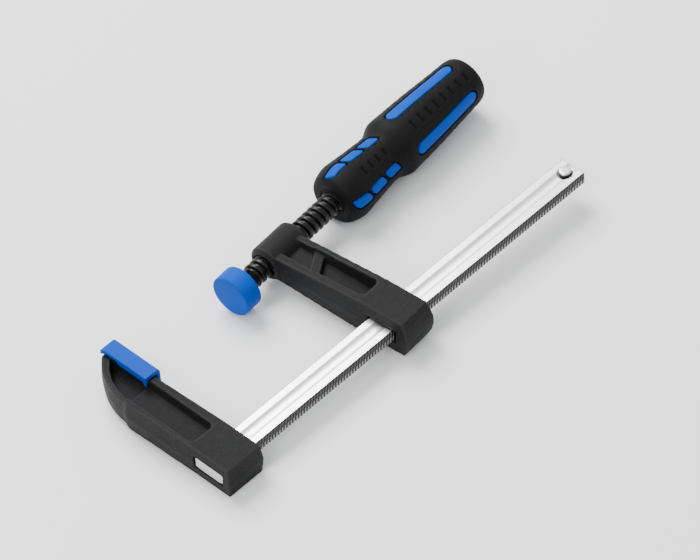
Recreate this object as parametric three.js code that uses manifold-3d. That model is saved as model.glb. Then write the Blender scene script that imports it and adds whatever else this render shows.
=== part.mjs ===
// F clamp (bar clamp) with a fixed jaw, a sliding arm, a screw spindle and a swivel pad.
//
// Millimetres, +Z up. The clamp lies flat: the jaws point along +Y, away from the bar.
// Origin: the middle of the fixed jaw's clamping face, on the line of the spindle when the arm is square.
// +X runs along the bar, from the fixed jaw to the free end. +Z is square to the plane of the clamp.
//
// The bar carries the fixed jaw, which is peened on, and a stop pin at its free end. The arm slides on
// the bar in a slot that is longer than the bar is wide, so it rocks by a few degrees until opposite
// edges of the slot bite into the toothed edges. It is stored rocked, as it lies when no work is held.

import * as THREE from 'three';
import { mergeVertices } from 'three/addons/utils/BufferGeometryUtils.js';
import Module from 'manifold-3d';

const wasm = await Module();
wasm.setup();

// ---------------------------------------------------------------- driving dimensions

const THROAT = 50; // from the bar's inner edge to the spindle axis

const BAR_WIDTH = 11.7; // across the toothed edges
const BAR_THICKNESS = 5.3;
const BAR_REACH = 178; // from the fixed jaw's body to the free end
const TOOTH_PITCH = 1.5;
const TOOTH_DEPTH = 0.45;
const FLUTE_WIDTH = 5;
const FLUTE_DEPTH = 0.5;

const PEEN_WIDTH = 14.4; // the bar's end, hammered wider than the bar in the jaw's outer face
const PEEN_LENGTH = 1.4;
const PIN_DIAMETER = 5.2;
const PIN_PROUD = 1.6; // how far it stands out of each flat side of the bar
const PIN_END_DISTANCE = 4.7; // from the pin's axis to the free end of the bar

const JAW_LENGTH = 17; // along the bar
const JAW_HALF = 7; // half its height over the bar
const JAW_HEEL = 4.3; // metal beyond the bar's outer edge
const JAW_PROUD = 0.9; // how far the body stands in front of the nose, at the bar
const JAW_LEAN = 1.2; // how far the body's clamping side leans back from the bar to the nose
const JAW_FLARE = 0.7; // and how far its outer side leans out
const NOSE_HALF = 6.4; // half its height at the nose
const NOSE_PAST_AXIS = 9.1; // from the spindle axis to the tip
const NOSE_START = 13.5; // from the spindle axis back to the step where the body begins
const NOSE_STEP = 0.6; // the nose is thinner than the body at its outer face

const CAP_WALL = 2.7; // jaw cap, over the clamping face
const CAP_FLANGE = 1.9;
const CAP_LIP = 1.1; // the lip along each flange's free edge
const CAP_LIP_DROP = 1; // how far the lip reaches down past the rim of the jaw
const CAP_LENGTH = 23;
const CAP_BEVEL = 1.3; // along the long edges of the clamping face
const CAP_TAB = 1.5; // a taller stub at the end of each lip that is nearest the bar
const CAP_PAST_NOSE = 0.9;

const ARM_POSITION = 79; // from the clamping face to the middle of the arm, along the bar
const ARM_TILT = 4.3; // degrees, rocked on the bar
const ARM_LENGTH = 14.8; // along the bar
const ARM_HALF = 8.5; // half its height at the bar
const ARM_TOP_HALF = 5.4; // half its height at the boss
const ARM_HEEL = 4.3;
const HEEL_BULGE = 1.9; // how far the heel's rounded end stands out at mid height
const HEEL_ROUND = 0.6; // and how far it draws in at the top and bottom
const BOSS_RADIUS = 7.3;
const BOSS_LENGTH = 19;
const BOSS_OFFSET = 0.4; // from the middle of the arm to the middle of the boss, along the spindle

const RIM = 3.2; // cast rims beside the pockets
const OUTER_RIM = 1.9;
const POCKET_DEPTH = 4;
const NOSE_POCKET_DEPTH = 4.9;
const SMALL_POCKET_DEPTH = 2.6; // the arm's pocket beside the boss
const RIB_TOP = 4.7; // half the height over the arm's slanting ribs
const CAST_DRAFT = 0.7; // how far the parting line stands out of the sides

const SPINDLE_DIAMETER = 9.2;
const THREAD_PITCH = 3;
const THREAD_DEPTH = 1.1;
const THREAD_START = 10.8; // from the pad's clamping face to the first thread
const NECK_DIAMETER = 4.4;
const BALL_DIAMETER = 6.4;

const PAD_DIAMETER = 17.4;
const PAD_THICKNESS = 8; // with its plastic cap
const PAD_CAP_WALL = 1.5;
const PAD_CAP_FACE = 2;
const SHOE_FLOOR = 0.8; // steel between the ball and the plastic cap
const COLLAR_WALL = 0.9; // thinnest metal of the crimped collar round the ball
const COLLAR_PAST_BALL = 2.1; // from the ball's centre to the back of the collar
const PAD_POSITION = 28.5; // from the middle of the arm to the pad's clamping face, along the spindle

const HANDLE_POSITION = 31; // from the middle of the arm to the front of the handle
const HANDLE_LENGTH = 81.3;
const HANDLE_FRONT_RADIUS = 11.95; // the thumb bulge
const HANDLE_WAIST_RADIUS = 10.18;
const HANDLE_PALM_RADIUS = 12.6; // the palm bulge
const HANDLE_END_RADIUS = 10.55;
const GRIP_WALL = 2.2; // soft skin over the hard core
const TANG_LENGTH = 38; // plain end of the spindle, pressed into the handle
const WINDOW_ROWS = 4;
const WINDOW_TURN = 76; // degrees, from the top of the handle to the first row
const WINDOW_WIDTH = 5.4;

const FIT = 0.3; // gap between neighbouring pieces
const RUNNING_FIT = 0.35; // radial gap where a piece turns or slides in another

// ---------------------------------------------------------------- values that follow from them

const barY = -(THROAT + BAR_WIDTH / 2);
const jawFaceX = -CAP_WALL;
const bodyFaceX = jawFaceX + JAW_PROUD;
const barEndX = bodyFaceX + BAR_REACH;
const jawBackX = bodyFaceX - JAW_LENGTH;
const tilt = THREE.MathUtils.degToRad(ARM_TILT);
const spindleRadius = SPINDLE_DIAMETER / 2;
const handleCoreFront = 1.4; // the core starts this far behind the front of the handle

// ---------------------------------------------------------------- materials

const castPaint = new THREE.MeshStandardMaterial({ color: 0x3f3f40, roughness: 0.6, metalness: 0.1 });
const platedSteel = new THREE.MeshStandardMaterial({ color: 0xdcdcd8, roughness: 0.28, metalness: 1 });
const blackSteel = new THREE.MeshStandardMaterial({ color: 0x0d0d0e, roughness: 0.3, metalness: 0.6 });
const bluePlastic = new THREE.MeshStandardMaterial({ color: 0x0f74e6, roughness: 0.42, metalness: 0 });
const gripRubber = new THREE.MeshStandardMaterial({ color: 0x242424, roughness: 0.75, metalness: 0 });

// ---------------------------------------------------------------- solid helpers

// A closed three.js geometry as a solid that can be joined and cut.
function solid(geometry) {
  const bare = geometry.clone();
  bare.deleteAttribute('normal');
  bare.deleteAttribute('uv');
  const merged = mergeVertices(bare, 1e-4);
  const mesh = new wasm.Mesh({
    numProp: 3,
    vertProperties: new Float32Array(merged.attributes.position.array),
    triVerts: new Uint32Array(merged.index.array),
  });
  return new wasm.Manifold(mesh);
}

// A solid back as a three.js geometry.
function geometryOf(shape) {
  const mesh = shape.getMesh();
  const geometry = new THREE.BufferGeometry();
  geometry.setAttribute('position', new THREE.BufferAttribute(mesh.vertProperties, 3));
  geometry.setIndex(new THREE.BufferAttribute(mesh.triVerts, 1));
  geometry.computeVertexNormals();
  return geometry;
}

function box(x0, x1, y0, y1, z0, z1) {
  const geometry = new THREE.BoxGeometry(x1 - x0, y1 - y0, z1 - z0);
  geometry.translate((x0 + x1) / 2, (y0 + y1) / 2, (z0 + z1) / 2);
  return solid(geometry);
}

// A straight prism of an XY outline, from z0 up to z1.
function prism(outline, z0, z1, curveSegments = 8) {
  const geometry = new THREE.ExtrudeGeometry(outline, { depth: z1 - z0, bevelEnabled: false, curveSegments });
  geometry.translate(0, 0, z0);
  return solid(geometry);
}

// A cast block: the outline at its top and bottom faces, and a parting line at mid height that stands
// out by the draft.
function castBlock(outline, half, draft, curveSegments = 8) {
  const band = 0.6;
  const geometry = new THREE.ExtrudeGeometry(outline, {
    depth: band,
    bevelEnabled: true,
    bevelThickness: half - band / 2,
    bevelSize: draft,
    bevelSegments: 1,
    curveSegments,
  });
  geometry.translate(0, 0, -band / 2);
  return solid(geometry);
}

// A pocket cut from the top and the bottom of a casting, its walls sloping out to the mouth.
function pockets(outline, floor, top) {
  const slope = 0.8;
  const geometry = new THREE.ExtrudeGeometry(outline, {
    depth: 2,
    bevelEnabled: true,
    bevelThickness: top - floor,
    bevelSize: slope,
    bevelOffset: -slope,
    bevelSegments: 1,
    curveSegments: 4,
  });
  geometry.translate(0, 0, top);
  const upper = solid(geometry);
  return upper.add(upper.mirror([0, 0, 1]));
}

// A body of revolution about X from [distance along X, radius] pairs that start and end on the axis.
function turned(profile, segments) {
  const points = profile.map(([along, radius]) => new THREE.Vector2(radius, along));
  const geometry = new THREE.LatheGeometry(points, segments);
  geometry.rotateZ(-Math.PI / 2);
  return solid(geometry);
}

function rod(x0, x1, radius, segments) {
  return turned([[x0, 0], [x0, radius], [x1, radius], [x1, 0]], segments);
}

// A rectangle with round corners in XY.
function roundedRectangle(x0, x1, y0, y1, radius) {
  const shape = new THREE.Shape();
  shape.moveTo(x0 + radius, y0);
  shape.lineTo(x1 - radius, y0);
  shape.absarc(x1 - radius, y0 + radius, radius, -Math.PI / 2, 0);
  shape.lineTo(x1, y1 - radius);
  shape.absarc(x1 - radius, y1 - radius, radius, 0, Math.PI / 2);
  shape.lineTo(x0 + radius, y1);
  shape.absarc(x0 + radius, y1 - radius, radius, Math.PI / 2, Math.PI);
  shape.lineTo(x0, y0 + radius);
  shape.absarc(x0 + radius, y0 + radius, radius, Math.PI, 1.5 * Math.PI);
  return shape;
}

function part(name, shape, material) {
  const mesh = new THREE.Mesh(shape.isBufferGeometry ? shape : geometryOf(shape), material);
  mesh.name = name;
  return mesh;
}

const clamp = new THREE.Group();

// ---------------------------------------------------------------- bar
// Flat steel with a shallow flute rolled into each side and teeth cut into both narrow edges. Its plain
// end goes through the fixed jaw and is peened over at the jaw's outer face.

function makeBar() {
  const outer = BAR_WIDTH / 2;
  const root = outer - TOOTH_DEPTH;
  const count = Math.floor((BAR_REACH - TOOTH_PITCH) / TOOTH_PITCH);
  const outline = new THREE.Shape();
  outline.moveTo(jawBackX, -root);
  for (let tooth = 0; tooth < count; tooth += 1) {
    const start = bodyFaceX + TOOTH_PITCH * (tooth + 0.5);
    outline.lineTo(start, -root);
    outline.lineTo(start + TOOTH_PITCH / 2, -outer);
  }
  outline.lineTo(barEndX, -outer);
  outline.lineTo(barEndX, outer);
  for (let tooth = count - 1; tooth >= 0; tooth -= 1) {
    const start = bodyFaceX + TOOTH_PITCH * (tooth + 0.5);
    outline.lineTo(start + TOOTH_PITCH / 2, outer);
    outline.lineTo(start, root);
  }
  outline.lineTo(jawBackX, root);
  let bar = prism(outline, -BAR_THICKNESS / 2, BAR_THICKNESS / 2);
  const spread = PEEN_WIDTH / 2;
  const thick = BAR_THICKNESS / 2;
  bar = bar.add(box(jawBackX, jawBackX + PEEN_LENGTH, -spread, spread, -thick, thick));

  // The flute is a segment of a round bar that is as wide as the flute at the flat side.
  const fluteRadius = (FLUTE_WIDTH ** 2 / 4 + FLUTE_DEPTH ** 2) / (2 * FLUTE_DEPTH);
  const fluteZ = BAR_THICKNESS / 2 - FLUTE_DEPTH + fluteRadius;
  const flute = rod(bodyFaceX + FIT, barEndX + 1, fluteRadius, 48).translate([0, 0, fluteZ]);
  bar = bar.subtract(flute).subtract(flute.mirror([0, 0, 1]));

  const pinHole = new THREE.CylinderGeometry(pinHoleRadius, pinHoleRadius, BAR_THICKNESS + 2, 20);
  pinHole.rotateX(Math.PI / 2);
  pinHole.translate(pinX, 0, 0);
  return bar.subtract(solid(pinHole)).translate([0, barY, 0]);
}

const pinX = barEndX - PIN_END_DISTANCE;
const pinHoleRadius = PIN_DIAMETER / 2 + FIT / 2;
clamp.add(part('bar', makeBar(), platedSteel));

// ---------------------------------------------------------------- stop pin
// A short steel pin through the bar near its free end. The arm runs against it.

function makeStopPin() {
  const radius = PIN_DIAMETER / 2;
  const half = BAR_THICKNESS / 2 + PIN_PROUD;
  const edge = 0.5;
  const profile = [[0, -half], [radius - edge, -half], [radius, -half + edge]];
  profile.push([radius, half - edge], [radius - edge, half], [0, half]);
  const geometry = new THREE.LatheGeometry(profile.map(([r, h]) => new THREE.Vector2(r, h)), 20);
  geometry.rotateX(Math.PI / 2);
  geometry.translate(pinX, barY, 0);
  return solid(geometry);
}

clamp.add(part('stop_pin', makeStopPin(), platedSteel));

// ---------------------------------------------------------------- fixed jaw
// Cast iron, painted. Pockets on both sides leave a web and rims, and the nose is thinner than the body
// to take the plastic cap.

// The jaw's outer edge at the nose: from the step in a long curve to the tip.
const noseBackX = jawBackX - JAW_FLARE + NOSE_STEP;

function noseOutline() {
  const tip = NOSE_PAST_AXIS;
  const shape = new THREE.Shape();
  shape.moveTo(bodyFaceX - JAW_LEAN, -NOSE_START - 8);
  shape.lineTo(bodyFaceX - JAW_LEAN, -NOSE_START + 0.6);
  shape.lineTo(jawFaceX, -NOSE_START + 3);
  shape.lineTo(jawFaceX, tip - 1);
  shape.lineTo(jawFaceX - 1, tip);
  shape.lineTo(jawFaceX - 5.6, tip);
  shape.quadraticCurveTo(noseBackX - 0.1, 0.8, noseBackX, -NOSE_START - 3);
  shape.lineTo(noseBackX, -NOSE_START - 8);
  return shape;
}

function makeFixedJaw() {
  const heelY = barY - BAR_WIDTH / 2 - JAW_HEEL;
  const body = new THREE.Shape();
  body.moveTo(bodyFaceX, heelY);
  body.lineTo(bodyFaceX, barY + BAR_WIDTH / 2);
  body.lineTo(bodyFaceX - JAW_LEAN, -NOSE_START);
  body.lineTo(noseBackX, -NOSE_START + 0.6);
  body.lineTo(noseBackX - NOSE_STEP, -NOSE_START - 1.4);
  body.lineTo(jawBackX, barY + BAR_WIDTH / 2);
  body.lineTo(jawBackX, heelY);

  let jaw = castBlock(body, JAW_HALF, CAST_DRAFT);
  jaw = jaw.add(castBlock(noseOutline(), NOSE_HALF, CAST_DRAFT * 0.6, 10));

  const pocketX0 = jawBackX + OUTER_RIM;
  const pocketX1 = bodyFaceX - JAW_LEAN - RIM + 0.4;
  const pocketY0 = barY + BAR_WIDTH / 2 + 3.6;
  const main = roundedRectangle(pocketX0, pocketX1, pocketY0, -NOSE_START + 4, 2.2);
  jaw = jaw.subtract(pockets(main, JAW_HALF - POCKET_DEPTH, JAW_HALF));

  const back = noseBackX + OUTER_RIM;
  const front = jawFaceX - RIM;
  const nose = new THREE.Shape();
  nose.moveTo(front, -NOSE_START + 0.5);
  nose.lineTo(front, NOSE_PAST_AXIS - 5);
  nose.lineTo(front - 1.6, NOSE_PAST_AXIS - 3.4);
  nose.quadraticCurveTo(back + 0.6, -1, back + 0.4, -NOSE_START + 0.5);
  jaw = jaw.subtract(pockets(nose, NOSE_HALF - NOSE_POCKET_DEPTH, NOSE_HALF));

  // The bar's socket, right through from face to face, and the seat of its peened end.
  const half = BAR_WIDTH / 2 + FIT - TOOTH_DEPTH;
  const deep = BAR_THICKNESS / 2 + FIT;
  const socket = box(jawBackX - 3, bodyFaceX + 3, barY - half, barY + half, -deep, deep);
  const seatHalf = PEEN_WIDTH / 2 + FIT;
  const seatEnd = jawBackX + PEEN_LENGTH + FIT;
  const seat = box(jawBackX - 3, seatEnd, barY - seatHalf, barY + seatHalf, -deep, deep);
  return jaw.subtract(socket).subtract(seat);
}

clamp.add(part('fixed_jaw', makeFixedJaw(), castPaint));

// ---------------------------------------------------------------- jaw cap
// A moulded plastic channel pushed over the nose: a clamping wall with a flange over each side of the
// jaw. Each flange ends in a small lip that drops into the nose pocket's mouth, deepest in a stub near
// the bar.

function makeJawCap() {
  const inner = NOSE_HALF + FIT;
  const outer = inner + CAP_FLANGE;
  const y1 = NOSE_PAST_AXIS + CAP_PAST_NOSE;
  const y0 = y1 - CAP_LENGTH;
  const wallX = jawFaceX + CAST_DRAFT + FIT;
  const lipX1 = jawFaceX - RIM - FIT - 0.1;
  const lipX0 = lipX1 - CAP_LIP;
  const outline = new THREE.Shape();
  outline.moveTo(0, y0);
  outline.lineTo(0, y1);
  outline.lineTo(lipX0 - 0.9, y1);
  outline.lineTo(lipX0, y1 - 2.2);
  outline.lineTo(lipX0, y0);
  const shell = prism(outline, -outer, outer).subtract(box(-40, wallX, y0 - 1, y1 + 1, -inner, inner));
  const lipEnd = NOSE_PAST_AXIS - 7;
  const lipZ = NOSE_HALF - CAP_LIP_DROP;
  let lip = box(lipX0, lipX1, y0, lipEnd, lipZ, inner + CAP_FLANGE / 2);
  lip = lip.add(box(lipX0, lipX1 - CAP_LIP / 2, y0, y0 + CAP_TAB, lipZ - CAP_TAB, inner));

  // The bevel is drawn in XZ and laid along Y.
  const corner = new THREE.Shape();
  corner.moveTo(-CAP_BEVEL, outer);
  corner.lineTo(1, outer - CAP_BEVEL - 1);
  corner.lineTo(1, outer + 1);
  corner.lineTo(-CAP_BEVEL, outer + 1);
  const bevel = prism(corner, -y1 - 1, -y0 + 1).rotate([90, 0, 0]);
  return shell.add(lip).add(lip.mirror([0, 0, 1])).subtract(bevel).subtract(bevel.mirror([0, 0, 1]));
}

clamp.add(part('jaw_cap', makeJawCap(), bluePlastic));

// ---------------------------------------------------------------- sliding arm and all it carries
// Everything below lies in the arm's own frame: x along the spindle, y along the arm away from the bar,
// origin on the middle of the bar. The frame is turned by the arm's tilt.

const armFrame = new THREE.Group();
armFrame.position.set(ARM_POSITION, barY, 0);
armFrame.rotation.z = tilt;
clamp.add(armFrame);

const spindleY = THROAT + BAR_WIDTH / 2;
const slotHalf = (BAR_WIDTH / Math.cos(tilt) + ARM_LENGTH * Math.tan(tilt)) / 2 + FIT;
const slotDeep = BAR_THICKNESS / 2 + RUNNING_FIT + 0.3;

function makeArm() {
  const half = ARM_LENGTH / 2;
  const heelY = -(BAR_WIDTH / 2 + ARM_HEEL);
  const body = new THREE.Shape();
  body.moveTo(half, heelY - HEEL_BULGE);
  body.lineTo(half, spindleY);
  body.lineTo(-half, spindleY);
  body.lineTo(-half, heelY - HEEL_BULGE);
  let arm = castBlock(body, ARM_HALF, CAST_DRAFT);

  // Side profile: a rounded heel, full height over the bar, and a taper to the boss.
  const taperStart = BAR_WIDTH / 2 + 4;
  const side = new THREE.Shape();
  side.moveTo(heelY + HEEL_ROUND, -ARM_HALF);
  side.lineTo(taperStart, -ARM_HALF);
  side.lineTo(spindleY, -ARM_TOP_HALF);
  side.lineTo(spindleY, ARM_TOP_HALF);
  side.lineTo(taperStart, ARM_HALF);
  side.lineTo(heelY + HEEL_ROUND, ARM_HALF);
  side.quadraticCurveTo(heelY - 2 * HEEL_BULGE - HEEL_ROUND, 0, heelY + HEEL_ROUND, -ARM_HALF);
  const across = { depth: 3 * ARM_LENGTH, bevelEnabled: false, curveSegments: 6 };
  const sideGeometry = new THREE.ExtrudeGeometry(side, across);
  sideGeometry.rotateX(Math.PI / 2);
  sideGeometry.rotateZ(Math.PI / 2);
  sideGeometry.translate(-1.5 * ARM_LENGTH, 0, 0);
  arm = arm.intersect(solid(sideGeometry));

  // The boss round the thread, with chamfered ends.
  const bossX0 = BOSS_OFFSET - BOSS_LENGTH / 2;
  const bossX1 = BOSS_OFFSET + BOSS_LENGTH / 2;
  const edge = 1.4;
  const bossProfile = [[bossX0, 0], [bossX0, BOSS_RADIUS - edge], [bossX0 + edge, BOSS_RADIUS]];
  bossProfile.push([bossX1 - edge, BOSS_RADIUS], [bossX1, BOSS_RADIUS - edge], [bossX1, 0]);

  // Pockets: a small one beside the boss and a long one, with a slanting rib between them.
  const x0 = -half + RIM;
  const x1 = half - OUTER_RIM - 0.4;
  const longEnd = BAR_WIDTH / 2 + 5.4;
  const ribY = spindleY - 20;
  const long = new THREE.Shape();
  long.moveTo(x0 + 1.4, longEnd);
  long.lineTo(x1 - 1.4, longEnd);
  long.lineTo(x1, longEnd + 1.4);
  long.lineTo(x1, ribY + 2.4);
  long.lineTo(x0, ribY - 2.4);
  long.lineTo(x0, longEnd + 1.4);
  const small = new THREE.Shape();
  small.moveTo(x0, ribY + 1.2);
  small.lineTo(x1, ribY + 6);
  small.lineTo(x1, spindleY);
  small.lineTo(x0, spindleY);
  const rib = box(x0, x1, ribY - 3, ribY + 7, RIB_TOP, ARM_HALF);
  arm = arm.subtract(pockets(long, ARM_TOP_HALF - POCKET_DEPTH + 0.6, ARM_HALF));
  arm = arm.subtract(pockets(small, ARM_TOP_HALF - SMALL_POCKET_DEPTH, ARM_HALF));
  arm = arm.subtract(rib).subtract(rib.mirror([0, 0, 1]));

  arm = arm.add(turned(bossProfile, 32).translate([0, spindleY, 0]));
  const bore = spindleRadius + RUNNING_FIT;
  arm = arm.subtract(rod(bossX0 - 1, bossX1 + 1, bore, 24).translate([0, spindleY, 0]));
  return arm.subtract(box(-half - 3, half + 3, -slotHalf, slotHalf, -slotDeep, slotDeep));
}

armFrame.add(part('sliding_arm', makeArm(), castPaint));

// ---------------------------------------------------------------- spindle
// Steel rod with a coarse right-hand thread, blacked. The plain tang behind the thread is pressed into
// the handle, and the bright neck and ball in front carry the pad.

const spindleFrame = new THREE.Group();
spindleFrame.position.set(0, spindleY, 0);
armFrame.add(spindleFrame);

// A long right-hand screw about X: rows of points half a pitch apart climb one pitch per turn, and every
// second row is a crest.
function screw(x0, x1, crest, root, steps) {
  const turns = Math.ceil((x1 - x0) / THREAD_PITCH) + 2;
  const rows = 2 * turns + 1;
  const start = x0 - 1.5 * THREAD_PITCH;
  const points = [];
  const faces = [];
  for (let row = 0; row < rows; row += 1) {
    for (let step = 0; step < steps; step += 1) {
      const angle = (2 * Math.PI * step) / steps;
      const radius = row % 2 === 0 ? root : crest;
      const along = start + THREAD_PITCH * (row / 2 + step / steps);
      points.push(along, radius * Math.cos(angle), radius * Math.sin(angle));
    }
  }
  // The point after a row's last step is the first point two rows on.
  const at = (row, step) => (step === steps ? (row + 2) * steps : row * steps + step);
  for (let row = 0; row < rows - 3; row += 1) {
    for (let step = 0; step < steps; step += 1) {
      const [a, b, c, d] = [at(row, step), at(row, step + 1), at(row + 1, step + 1), at(row + 1, step)];
      faces.push(a, b, c, a, c, d);
    }
  }
  // Both ends close on the axis, with one radial step where the helix starts and stops.
  const last = rows - 3;
  const first = points.length / 3;
  points.push(start, 0, 0, start + THREAD_PITCH * (last / 2 + 1), 0, 0);
  for (let step = 0; step < steps; step += 1) {
    faces.push(first, at(0, step + 1), at(0, step));
    faces.push(first + 1, at(last, step), at(last, step + 1));
  }
  faces.push(first, at(0, 0), at(1, 0), first, at(1, 0), at(2, 0));
  faces.push(first + 1, at(last + 1, 0), at(last, 0), first + 1, at(last + 2, 0), at(last + 1, 0));
  const geometry = new THREE.BufferGeometry();
  geometry.setAttribute('position', new THREE.Float32BufferAttribute(points, 3));
  geometry.setIndex(faces);
  return solid(geometry);
}

const padFaceX = -PAD_POSITION;
const threadX0 = padFaceX + THREAD_START;
const tangX1 = HANDLE_POSITION + TANG_LENGTH;
const tangRadius = spindleRadius - THREAD_DEPTH - 0.1;

function makeSpindle() {
  const threadX1 = HANDLE_POSITION + 1;
  const envelope = [[threadX0, 0], [threadX0, NECK_DIAMETER / 2 + 0.2]];
  envelope.push([threadX0 + 1.8, spindleRadius + 0.5], [threadX1, spindleRadius + 0.5], [threadX1, 0]);
  const thread = screw(threadX0, threadX1, spindleRadius, spindleRadius - THREAD_DEPTH, 16);
  const tang = rod(threadX1 - 0.5, tangX1, tangRadius, 12);
  return thread.intersect(turned(envelope, 16)).add(tang);
}

spindleFrame.add(part('spindle', makeSpindle(), blackSteel));

// ---------------------------------------------------------------- ball tip
// The bright ground end of the spindle: a neck and the ball that the pad is crimped on.

const shoeX = padFaceX + PAD_CAP_FACE + FIT;
const ballX = shoeX + SHOE_FLOOR + RUNNING_FIT + BALL_DIAMETER / 2;

function makeBallTip() {
  const radius = BALL_DIAMETER / 2;
  const neck = NECK_DIAMETER / 2;
  const profile = [];
  const neckAngle = Math.asin(neck / radius);
  const steps = 6;
  for (let step = 0; step <= steps; step += 1) {
    const angle = Math.PI - (step / steps) * (Math.PI - neckAngle);
    const reach = step === 0 ? 0 : radius * Math.sin(angle);
    profile.push([ballX + radius * Math.cos(angle), reach]);
  }
  profile.push([threadX0 - FIT, neck], [threadX0 - FIT, 0]);
  return turned(profile, 20);
}

spindleFrame.add(part('ball_tip', makeBallTip(), platedSteel));

// ---------------------------------------------------------------- swivel pad
// A steel shoe, crimped over the ball so that it swivels, with a moulded plastic cap over its face.

function makePadShoe() {
  const discX = padFaceX + PAD_THICKNESS - 1.6;
  const collarX = ballX + COLLAR_PAST_BALL;
  const outer = PAD_DIAMETER / 2 - PAD_CAP_WALL - FIT;
  const seat = BALL_DIAMETER / 2 + RUNNING_FIT;
  const collar = seat + COLLAR_WALL;
  const profile = [[shoeX, 0], [shoeX, outer], [discX, outer], [discX, collar + 0.6]];
  profile.push([collarX - 1, collar], [collarX, collar - 0.7], [collarX, 0]);
  const socket = new THREE.SphereGeometry(seat, 20, 10);
  socket.rotateZ(Math.PI / 2);
  socket.translate(ballX, 0, 0);
  return turned(profile, 24).subtract(solid(socket));
}

function makePadCap() {
  const radius = PAD_DIAMETER / 2;
  const inner = radius - PAD_CAP_WALL;
  const back = padFaceX + PAD_THICKNESS;
  const floor = padFaceX + PAD_CAP_FACE;
  const profile = [[padFaceX, 0], [padFaceX, radius - 0.8], [padFaceX + 0.8, radius]];
  profile.push([back - 0.5, radius], [back, radius - 0.5], [back, inner], [floor, inner], [floor, 0]);
  return turned(profile, 32);
}

spindleFrame.add(part('pad_shoe', makePadShoe(), platedSteel));
spindleFrame.add(part('pad_cap', makePadCap(), bluePlastic));

// ---------------------------------------------------------------- handle
// A hard plastic core moulded on the spindle's tang, and a soft skin moulded over it. The core shows
// through windows in the skin: a long strip over the palm bulge and three dashes over the thumb bulge.

// The skin's outer surface: [share of the length from the front, radius].
const handleShape = [
  [0, HANDLE_FRONT_RADIUS - 3.6],
  [0.015, HANDLE_FRONT_RADIUS - 1.5],
  [0.042, HANDLE_FRONT_RADIUS - 0.6],
  [0.084, HANDLE_FRONT_RADIUS],
  [0.248, HANDLE_WAIST_RADIUS + 0.55],
  [0.35, HANDLE_WAIST_RADIUS],
  [0.382, HANDLE_WAIST_RADIUS + 0.8],
  [0.409, HANDLE_PALM_RADIUS - 0.6],
  [0.437, HANDLE_PALM_RADIUS],
  [0.546, HANDLE_PALM_RADIUS - 0.4],
  [0.695, HANDLE_PALM_RADIUS - 0.95],
  [0.924, HANDLE_END_RADIUS],
  [0.963, HANDLE_END_RADIUS - 0.5],
  [0.985, HANDLE_END_RADIUS - 1.7],
  [1, HANDLE_END_RADIUS - 5.5],
];
const handleProfile = handleShape.map(([share, radius]) => [share * HANDLE_LENGTH, radius]);

// The handle's body, with its surface moved in by a wall.
function handleBody(wall, frontCut, endCut, segments) {
  const last = HANDLE_LENGTH - endCut;
  const kept = handleProfile.filter(([along]) => along > frontCut && along < last);
  const at = (along) => {
    const next = handleProfile.findIndex(([a]) => a >= along);
    const [a1, r1] = handleProfile[Math.max(next, 1)];
    const [a0, r0] = handleProfile[Math.max(next, 1) - 1];
    return r0 + ((r1 - r0) * (along - a0)) / (a1 - a0);
  };
  const ends = [[frontCut, at(frontCut)], ...kept, [last, at(last)]];
  const profile = ends.map(([along, radius]) => [HANDLE_POSITION + along, radius - wall]);
  return turned([[profile[0][0], 0], ...profile, [profile[profile.length - 1][0], 0]], segments);
}

// Round-ended bars that stand out through the skin where the windows are, grown by a margin. Each
// window runs from and to a share of the handle's length.
function windowBars(margin) {
  const strip = [0.459, 0.918];
  const dashes = [[0.025, 0.124], [0.139, 0.243], [0.258, 0.35]];
  const bars = [];
  for (let row = 0; row < WINDOW_ROWS; row += 1) {
    const turn = WINDOW_TURN + (360 / WINDOW_ROWS) * row;
    [strip, ...dashes].forEach(([from, to], index) => {
      const width = (index === 0 ? WINDOW_WIDTH : WINDOW_WIDTH * 0.86) / 2 + margin;
      const x0 = HANDLE_POSITION + from * HANDLE_LENGTH - margin;
      const x1 = HANDLE_POSITION + to * HANDLE_LENGTH + margin;
      const outline = roundedRectangle(x0, x1, -width, width, width * 0.98);
      const bar = prism(outline, HANDLE_WAIST_RADIUS / 2, HANDLE_PALM_RADIUS * 2, 2);
      bars.push(bar.rotate([turn, 0, 0]));
    });
  }
  return wasm.Manifold.union(bars);
}

function makeHandleCore() {
  const inner = handleBody(GRIP_WALL + FIT, handleCoreFront, GRIP_WALL + FIT, 20);
  const outer = handleBody(0.1, handleCoreFront, GRIP_WALL, 28);
  const raised = outer.intersect(windowBars(0));
  const hole = rod(HANDLE_POSITION - 1, tangX1 + FIT, spindleRadius + FIT - THREAD_DEPTH, 16);
  return inner.add(raised).subtract(hole);
}

function makeHandleGrip() {
  const outer = handleBody(0, 0, 0, 28);
  const inner = handleBody(GRIP_WALL, handleCoreFront - FIT, GRIP_WALL, 20);
  const hole = rod(HANDLE_POSITION - 1, HANDLE_POSITION + handleCoreFront, spindleRadius + FIT, 24);
  return outer.subtract(inner).subtract(windowBars(FIT)).subtract(hole);
}

spindleFrame.add(part('handle_core', makeHandleCore(), bluePlastic));
spindleFrame.add(part('handle_grip', makeHandleGrip(), gripRubber));

export default clamp;
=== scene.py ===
"""F clamp: a toothed steel bar, a cast fixed jaw and sliding arm, a screw spindle with a swivel pad and a
two-part plastic handle, lying flat on a pale table.

Lengths are written in millimetres in the clamp's own frame and turned into metres as meshes are made.
"""

import math

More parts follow.
